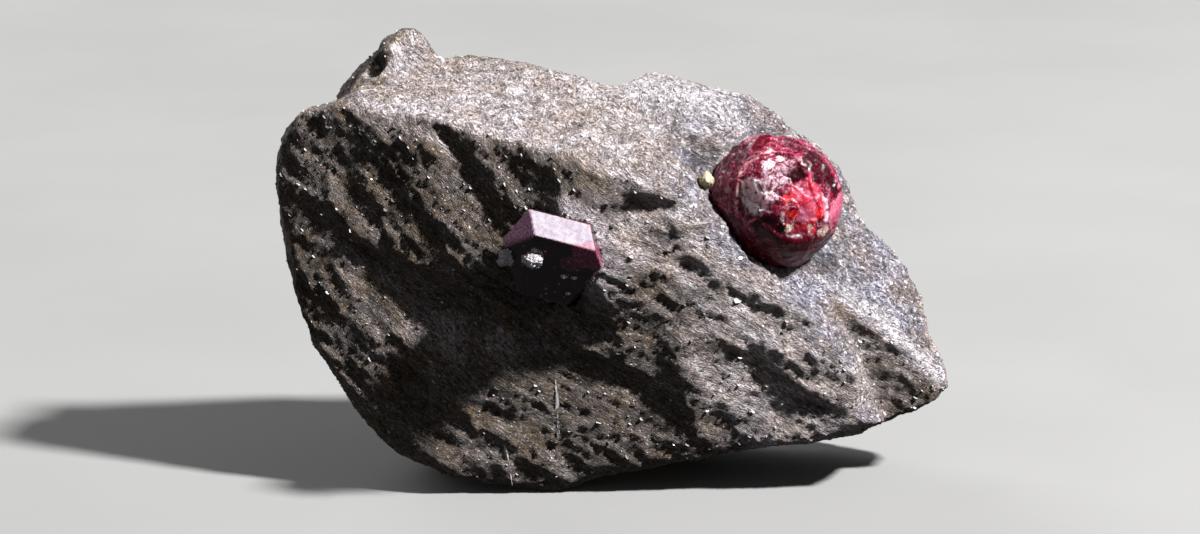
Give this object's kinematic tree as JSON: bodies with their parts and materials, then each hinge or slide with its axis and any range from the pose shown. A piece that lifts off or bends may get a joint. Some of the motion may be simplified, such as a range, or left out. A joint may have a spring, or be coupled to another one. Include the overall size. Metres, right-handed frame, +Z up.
{
  "type": "garnet in matrix",
  "caption": "Broken block of grey mica schist with a rounded red garnet and a dark faceted garnet standing out of it, a mineral specimen that rests on its underside.",
  "frame": {"origin": "on the surface it rests on, under the middle of its box", "axes": "+X along its length, to the right as seen from the face that holds the garnets; +Y away from that face; +Z up"},
  "size_m": [0.0814, 0.0414, 0.0515],
  "materials": {
    "schist": "rough, with glints of mica",
    "red_garnet": "glassy where clean, dull where coated",
    "dark_garnet": "glassy",
    "pale_grain": "waxy"
  },
  "bodies": {
    "root": {"matrix": "schist", "garnet_large": "red_garnet", "garnet_small": "dark_garnet", "pale_grain": "pale_grain"}
  },
  "joints": []
}
